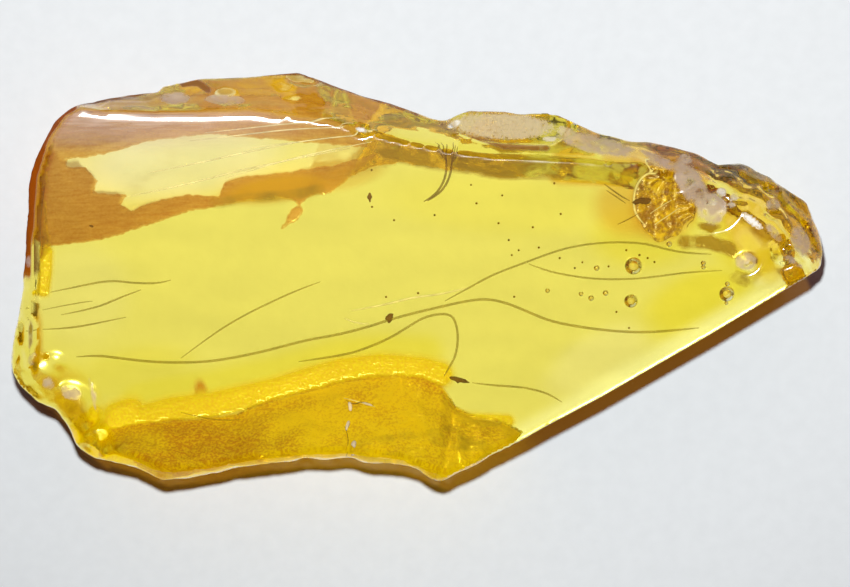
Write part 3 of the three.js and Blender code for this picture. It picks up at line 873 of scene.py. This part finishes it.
    # Finishes are matt where they lie on top, and seen through the glossy amber elsewhere.
    matt = add_node(tree, "ShaderNodeMath", MULTIPLY, i0=block, i1=marks["up"])
    rough = add_node(
        tree, "ShaderNodeMapRange", Value=matt.outputs[0], From_Max=0.3, To_Min=0.06,
        To_Max=0.75)
    relief = add_node(tree, "ShaderNodeMath", MULTIPLY, i0=grit, i1=block)
    bump = add_node(
        tree, "ShaderNodeBump", Height=relief.outputs[0], Distance=0.01 * MM, Strength=1.0)
    # The weathered rind has no gloss.
    dull = add_node(
        tree, "ShaderNodeMapRange", Value=marks["rind"], From_Max=0.4, To_Min=0.5, To_Max=0.0)
    shader = add_node(
        tree, "ShaderNodeBsdfPrincipled", Base_Color=colour, Roughness=rough.outputs[0],
        Transmission_Weight=clear, IOR=AMBER_IOR, Specular_IOR_Level=dull.outputs[0],
        Normal=bump.outputs[0])

    tint = tuple(finish.clear_tint)
    for name, tone in (
            ("pale", finish.pale_tint), ("deep", finish.deep_tint), ("glow", finish.glow_tint)):
        tint = add_node(
            tree, "ShaderNodeMix", COLOUR_MIX, i0=marks[name], i6=tint,
            i7=tuple(tone)).outputs[2]
    drawn = add_node(
        tree, "ShaderNodeMapping", Vector=place, Scale=(0.25, 1.0, 1.0),
        Rotation=(0.0, 0.0, math.radians(-14)))
    flow = add_node(
        tree, "ShaderNodeTexNoise", Vector=drawn.outputs[0], Scale=1 / (1.6 * MM), Detail=4.0)
    swell = add_node(
        tree, "ShaderNodeMapRange", Value=flow.outputs["Fac"], From_Min=0.3, From_Max=0.7,
        To_Min=0.96, To_Max=1.04)
    tint = add_node(
        tree, "ShaderNodeVectorMath", SCALE, i0=tint, Scale=swell.outputs[0]).outputs[0]
    # Steep faces turn the lamp's light aside, so they let little of it down to the floor.
    slope = add_node(tree, "ShaderNodeLayerWeight", Blend=0.5)
    level = add_node(
        tree, "ShaderNodeMapRange", Value=slope.outputs["Facing"], From_Min=0.16, From_Max=0.3,
        To_Min=1.0, To_Max=0.0)
    open_share = add_node(
        tree, "ShaderNodeMath", MULTIPLY, i0=level.outputs[0], i1=clear)
    shade = add_node(
        tree, "ShaderNodeMix", COLOUR_MIX, i0=marks["fair"], i6=tuple(finish.shade),
        i7=tuple(finish.fair_shade)).outputs[2]
    lamp_colour = add_node(
        tree, "ShaderNodeMix", COLOUR_MIX, i0=open_share.outputs[0], i6=shade,
        i7=tint).outputs[2]
    depth = add_node(
        tree, "ShaderNodeVolumeAbsorption", Color=ABSORPTION_COLOUR, Density=ABSORPTION_DENSITY)
    add_node(
        tree, "ShaderNodeOutputMaterial",
        Surface=lit_through(tree, shader.outputs[0], lamp_colour), Volume=depth.outputs[0])
    return material


def thread_material(name, colour, strength):
    """Flow boundaries, dirt and crushed resin, buried and hardened in it: matt and beaded,
    and partly see-through, so that they are faint."""
    material, tree = new_material(name)
    place = add_node(tree, "ShaderNodeTexCoord").outputs["Object"]
    beads = add_node(
        tree, "ShaderNodeTexNoise", Vector=place, Scale=1 / (0.8 * MM), Detail=3.0)
    tone = add_node(
        tree, "ShaderNodeMapRange", Value=beads.outputs["Fac"], From_Min=0.3, From_Max=0.7,
        To_Min=0.7, To_Max=1.3)
    shade = add_node(
        tree, "ShaderNodeVectorMath", SCALE, i0=tuple(colour)[:3], Scale=tone.outputs[0])
    shader = add_node(
        tree, "ShaderNodeBsdfPrincipled", Base_Color=shade.outputs[0], Roughness=0.7,
        Alpha=strength, Specular_IOR_Level=0.0)
    add_node(tree, "ShaderNodeOutputMaterial", Surface=shader.outputs[0])
    return material


def bubble_material():
    """Air trapped in resin: a smooth bubble that reads as a dark ring round a bright middle."""
    material, tree = new_material("Trapped_air")
    place = add_node(tree, "ShaderNodeTexCoord").outputs["Object"]
    film = add_node(tree, "ShaderNodeTexNoise", Vector=place, Scale=1 / (0.3 * MM), Detail=1.0)
    tone = add_node(
        tree, "ShaderNodeMix", COLOUR_MIX, i0=film.outputs["Fac"], i6=linear_colour("#F0D060"),
        i7=linear_colour("#FFFFFF")).outputs[2]
    shader = add_node(
        tree, "ShaderNodeBsdfPrincipled", Base_Color=tone, Roughness=0.03,
        Transmission_Weight=1.0, IOR=AIR_IN_AMBER_IOR)
    add_node(
        tree, "ShaderNodeOutputMaterial",
        Surface=lit_through(tree, shader.outputs[0], BUBBLE_TINT))
    return material


def spangle_material(finish):
    """Thin air gap of a stress crack, sprung open: orange scales, with bright yellow flecks
    painted in where they glitter (painted glints).
    """
    material, tree = new_material("Sprung_stress_crack")
    place = add_node(tree, "ShaderNodeTexCoord").outputs["Object"]
    scales = add_node(
        tree, "ShaderNodeTexVoronoi", Vector=place, Scale=1 / (0.28 * MM), Randomness=1.0)
    cloud = add_node(tree, "ShaderNodeTexNoise", Vector=place, Scale=1 / (0.7 * MM), Detail=4.0)
    # The bright flecks are painted glints: pale yellow laid into the colour where the scales would
    # glitter.
    lit = add_node(
        tree, "ShaderNodeMapRange", Value=cloud.outputs["Fac"], From_Min=0.38, From_Max=0.62)
    painted_glitter = add_node(
        tree, "ShaderNodeMapRange", Value=scales.outputs["Distance"], From_Min=0.2, From_Max=0.7)
    share = add_node(
        tree, "ShaderNodeMath", MULTIPLY, i0=lit.outputs[0], i1=painted_glitter.outputs[0])
    tone = add_node(
        tree, "ShaderNodeMix", COLOUR_MIX, i0=share.outputs[0], i6=tuple(finish.spangle),
        i7=tuple(finish.skin_pale)).outputs[2]
    bump = add_node(
        tree, "ShaderNodeBump", Height=scales.outputs["Distance"], Distance=0.05 * MM, Strength=1.0)
    shader = add_node(
        tree, "ShaderNodeBsdfPrincipled", Base_Color=tone, Roughness=0.3, Alpha=0.5,
        Normal=bump.outputs[0])
    add_node(tree, "ShaderNodeOutputMaterial", Surface=shader.outputs[0])
    return material


def paper_material(stage):
    """Plain matt paper, pressed: pale, with a grain too fine to cast shadows."""
    material = bpy.data.materials.new("Pressed_paper")
    material.use_nodes = True
    tree = material.node_tree
    shader = tree.nodes["Principled BSDF"]
    shader.inputs["Roughness"].default_value = 0.95
    shader.inputs["Specular IOR Level"].default_value = 0.1
    place = add_node(tree, "ShaderNodeTexCoord")
    grain = add_node(
        tree, "ShaderNodeTexNoise", Vector=place.outputs["Object"], Scale=1 / (0.9 * MM),
        Detail=5.0)
    tone = add_node(
        tree, "ShaderNodeMapRange", Value=grain.outputs["Fac"], From_Min=0.3, From_Max=0.7,
        To_Min=0.965, To_Max=1.0)
    shade = add_node(
        tree, "ShaderNodeVectorMath", SCALE, i0=tuple(stage.paper)[:3], Scale=tone.outputs[0])
    tree.links.new(shade.outputs[0], shader.inputs["Base Color"])
    bump = add_node(
        tree, "ShaderNodeBump", Height=grain.outputs["Fac"], Distance=0.05 * MM, Strength=0.5)
    tree.links.new(bump.outputs[0], shader.inputs["Normal"])
    return material


class AMBER_OT_body(bpy.types.Operator):
    """Makes the amber body from the frame's solid"""
    bl_idname = "amber.body"
    bl_label = "Amber body"

    def execute(self, context):
        settings = context.scene.amber_body
        piece = frame_copy("amber_body")
        remesh(piece, settings.cell)
        carve(piece, settings)
        mark_regions(piece)
        piece.data.materials.append(amber_material(context.scene.amber_finish))
        for face in piece.data.polygons:
            face.use_smooth = True
        piece.data.set_sharp_from_angle(angle=settings.sharp_angle)
        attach(piece, BODY)
        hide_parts(NODE)
        return {"FINISHED"}


def carry(piece, material):
    """Puts a finished piece in the scene, riding with the amber. The thin things inside it
    cast no shadow, because the lamp's light spreads round them."""
    if piece.name not in bpy.context.scene.collection.objects:
        bpy.context.scene.collection.objects.link(piece)
    piece.data.materials.clear()
    piece.data.materials.append(material)
    for face in piece.data.polygons:
        face.use_smooth = True
    piece.visible_shadow = False
    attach(piece, BODY)


def threads(name, lines, material):
    """Thin round threads with pointed ends through the given points, as one mesh piece."""
    curve = bpy.data.curves.new(name, "CURVE")
    curve.dimensions = "3D"
    curve.bevel_depth = MM
    curve.bevel_resolution = 1
    curve.use_fill_caps = True
    for radius, height, line in lines:
        spline = curve.splines.new("NURBS")
        spline.points.add(len(line) - 1)
        spline.order_u = 3
        spline.use_endpoint_u = True
        spline.resolution_u = 4
        for number, (x, y) in enumerate(line):
            is_end = number in (0, len(line) - 1)
            spline.points[number].co = (x * MM, y * MM, height * MM, 1)
            spline.points[number].radius = radius * (THREAD_TIP if is_end else 1)
    drawn = bpy.data.objects.new(name + "_curve", curve)
    bpy.context.scene.collection.objects.link(drawn)
    graph = bpy.context.evaluated_depsgraph_get()
    mesh = bpy.data.meshes.new_from_object(drawn.evaluated_get(graph))
    bpy.data.objects.remove(drawn)
    carry(bpy.data.objects.new(name, mesh), material)


def lumps_piece(name, rows, material, segments=16, crinkle=0.0):
    """Rounded lumps as one mesh piece. Each row is x, y, height, three half axes and turn."""
    shape = bmesh.new()
    for x, y, height, half_length, half_width, half_height, turn in rows:
        made = bmesh.ops.create_uvsphere(
            shape, u_segments=segments, v_segments=segments // 2, radius=MM,
            matrix=Matrix.Translation(Vector((x, y, height)) * MM)
            @ Matrix.Rotation(math.radians(turn), 4, "Z")
            @ Matrix.Diagonal((half_length, half_width, half_height, 1)))
        for vert in made["verts"]:
            middle = Vector((x, y, height)) * MM
            push = 1 + crinkle * noise.noise(vert.co / (CRINKLE_SIZE * MM))
            vert.co = middle + (vert.co - middle) * push
    mesh = bpy.data.meshes.new(name)
    shape.to_mesh(mesh)
    shape.free()
    carry(bpy.data.objects.new(name, mesh), material)


class AMBER_OT_flow_lines(bpy.types.Operator):
    """Makes the dark and the pale threads inside the amber"""
    bl_idname = "amber.flow_lines"
    bl_label = "Flow lines"

    def execute(self, context):
        finish = context.scene.amber_finish
        threads("flow_lines", FLOW_LINES, thread_material("Flow_boundary", finish.flow, 0.45))
        threads("pale_lines", PALE_LINES, thread_material("Pale_thread", finish.pale_line, 0.5))
        threads("crack_lines", CRACK_LINES, thread_material("Dirty_crack", finish.debris, 0.5))
        return {"FINISHED"}


class AMBER_OT_bubbles(bpy.types.Operator):
    """Makes the air bubbles, the specks and the debris"""
    bl_idname = "amber.bubbles"
    bl_label = "Bubbles and specks"

    def execute(self, context):
        finish = context.scene.amber_finish
        round_rows = [(x, y, height, r, r, r, 0) for x, y, height, r in BUBBLES]
        lumps_piece("bubbles", round_rows, bubble_material(), segments=32)
        r = SPECK_RADIUS
        speck_rows = [(x, y, height, r, r, r, 0) for x, y, height in SPECKS]
        dirt = thread_material("Buried_dirt", finish.debris, 0.8)
        lumps_piece("specks", speck_rows, dirt, segments=8, crinkle=0.3)
        lumps_piece("debris", DEBRIS, dirt, segments=16, crinkle=0.6)
        crushed = thread_material("Crushed_amber", finish.frost, 0.8)
        lumps_piece("flakes", FLAKES, crushed, segments=12, crinkle=0.8)
        return {"FINISHED"}


class AMBER_OT_spangle(bpy.types.Operator):
    """Makes the round glittering stress crack at the pointed end"""
    bl_idname = "amber.spangle"
    bl_label = "Stress crack"

    def execute(self, context):
        shape = bmesh.new()
        bmesh.ops.create_uvsphere(shape, u_segments=96, v_segments=24, radius=MM)
        ripple_depth, ripple_rate = SPANGLE_RIPPLES
        buckle_depth, buckle_rate = SPANGLE_BUCKLES
        edge_depth, edge_rate = SPANGLE_EDGE
        for vert in shape.verts:
            x, y, z = vert.co / MM
            ripple = ripple_depth * math.sin(ripple_rate * math.hypot(x, y))
            buckle = buckle_depth * noise.noise(Vector((x, y, 0)) * buckle_rate)
            ragged = 1 + edge_depth * noise.noise(Vector((x, y, 0)) * edge_rate)
            lift = (ripple + buckle) * SPANGLE_LIFT * (1 - x * x - y * y)
            vert.co = Vector((
                x * ragged * SPANGLE_AXES[0], y * ragged * SPANGLE_AXES[1],
                z * SPANGLE_AXES[2] + lift)) * MM
        turn = Matrix.Rotation(SPANGLE_TILT, 4, "Y")
        bmesh.ops.transform(
            shape, matrix=Matrix.Translation(Vector(SPANGLE_CENTRE) * MM) @ turn,
            verts=shape.verts)
        mesh = bpy.data.meshes.new("stress_crack")
        shape.to_mesh(mesh)
        shape.free()
        carry(
            bpy.data.objects.new("stress_crack", mesh),
            spangle_material(context.scene.amber_finish))
        return {"FINISHED"}


class AMBER_OT_stage(bpy.types.Operator):
    """Makes the floor, the lamp, the surroundings and the camera"""
    bl_idname = "amber.stage"
    bl_label = "Stage"

    def execute(self, context):
        stage = context.scene.amber_stage
        shape = bmesh.new()
        bmesh.ops.create_grid(shape, x_segments=1, y_segments=1, size=stage.floor_width / 2)
        bmesh.ops.translate(shape, verts=shape.verts, vec=(0, 0, -FLOOR_GAP * MM))
        mesh = bpy.data.meshes.new("floor")
        shape.to_mesh(mesh)
        shape.free()
        floor = bpy.data.objects.new("floor", mesh)
        context.scene.collection.objects.link(floor)
        floor.data.materials.append(paper_material(stage))

        lamp = bpy.data.lights.new("Key_lamp", "SPOT")
        lamp.energy = stage.key_strength * 4 * math.pi * stage.key_distance ** 2
        lamp.shadow_soft_size = stage.key_distance * math.tan(stage.key_width / 2)
        lamp.spot_size = stage.key_cone
        lamp.spot_blend = 1.0
        key = bpy.data.objects.new("Key_lamp", lamp)
        way = Vector((
            math.sin(stage.key_tilt) * math.cos(stage.key_turn),
            math.sin(stage.key_tilt) * math.sin(stage.key_turn),
            math.cos(stage.key_tilt),
        ))
        key.location = way * stage.key_distance
        aim = Vector(stage.key_aim)
        key.rotation_euler = (key.location - aim).to_track_quat("Z", "Y").to_euler()
        key.visible_transmission = False
        context.scene.collection.objects.link(key)

        world = bpy.data.worlds.new("Soft_room")
        world.use_nodes = True
        context.scene.world = world
        tree = world.node_tree
        tree.nodes.clear()
        place = add_node(tree, "ShaderNodeTexCoord")
        split = add_node(tree, "ShaderNodeSeparateXYZ", Vector=place.outputs["Generated"])
        side = add_node(
            tree, "ShaderNodeMapRange", Value=split.outputs["Y"], From_Min=0.3, From_Max=0.7)
        room = add_node(
            tree, "ShaderNodeMix", COLOUR_MIX, i0=side.outputs[0], i6=tuple(stage.dark_side),
            i7=tuple(stage.bright_side)).outputs[2]
        path = add_node(tree, "ShaderNodeLightPath")
        seen = add_node(
            tree, "ShaderNodeMath", LARGER, i0=path.outputs["Is Camera Ray"],
            i1=path.outputs["Is Transmission Ray"])
        sky = add_node(
            tree, "ShaderNodeMix", COLOUR_MIX, i0=seen.outputs[0], i6=room,
            i7=tuple(stage.backdrop)).outputs[2]
        light = add_node(tree, "ShaderNodeBackground", Color=sky, Strength=1.0)
        add_node(tree, "ShaderNodeOutputWorld", Surface=light.outputs[0])

        view = bpy.data.cameras.new("Camera")
        view.lens = stage.lens
        view.sensor_width = SENSOR_WIDTH
        view.clip_start = 0.01
        view.clip_end = 10
        camera = bpy.data.objects.new("Camera", view)
        width = PICTURE_WIDTH / PIXELS_PER_MM * MM
        distance = width * stage.lens / SENSOR_WIDTH
        x, y = VIEW_MIDDLE
        camera.location = (x * MM, y * MM, TOP * MM + distance)
        context.scene.collection.objects.link(camera)
        context.scene.camera = camera
        context.scene.view_settings.view_transform = "Standard"
        context.scene.cycles.use_denoising = True
        context.scene.cycles.caustics_refractive = False
        context.scene.cycles.caustics_reflective = False
        context.scene.cycles.max_bounces = LIGHT_BOUNCES
        context.scene.cycles.transmission_bounces = LIGHT_BOUNCES
        context.scene.cycles.transparent_max_bounces = LIGHT_BOUNCES
        return {"FINISHED"}


class AMBER_PT_panel(bpy.types.Panel):
    """Lists the steps that build the amber"""
    bl_idname = "AMBER_PT_panel"
    bl_label = "Raw amber"
    bl_space_type = "VIEW_3D"
    bl_region_type = "UI"
    bl_category = "Amber"

    def draw(self, context):
        for step in STEPS:
            self.layout.operator(step)


STEPS = ["amber.body", "amber.flow_lines", "amber.bubbles", "amber.spangle", "amber.stage"]
CLASSES = [
    BodySettings, FinishSettings, StageSettings, AMBER_OT_body, AMBER_OT_flow_lines,
    AMBER_OT_bubbles, AMBER_OT_spangle, AMBER_OT_stage, AMBER_PT_panel,
]
SETTINGS = {
    "amber_body": BodySettings, "amber_finish": FinishSettings, "amber_stage": StageSettings,
}


def register():
    for item in CLASSES:
        bpy.utils.register_class(item)
    for name, group in SETTINGS.items():
        setattr(bpy.types.Scene, name, PointerProperty(type=group))


def unregister():
    for name in SETTINGS:
        delattr(bpy.types.Scene, name)
    for item in reversed(CLASSES):
        bpy.utils.unregister_class(item)


def main():
    register()
    for step in STEPS:
        group, name = step.split(".")
        getattr(getattr(bpy.ops, group), name)()


if __name__ == "__main__":
    main()
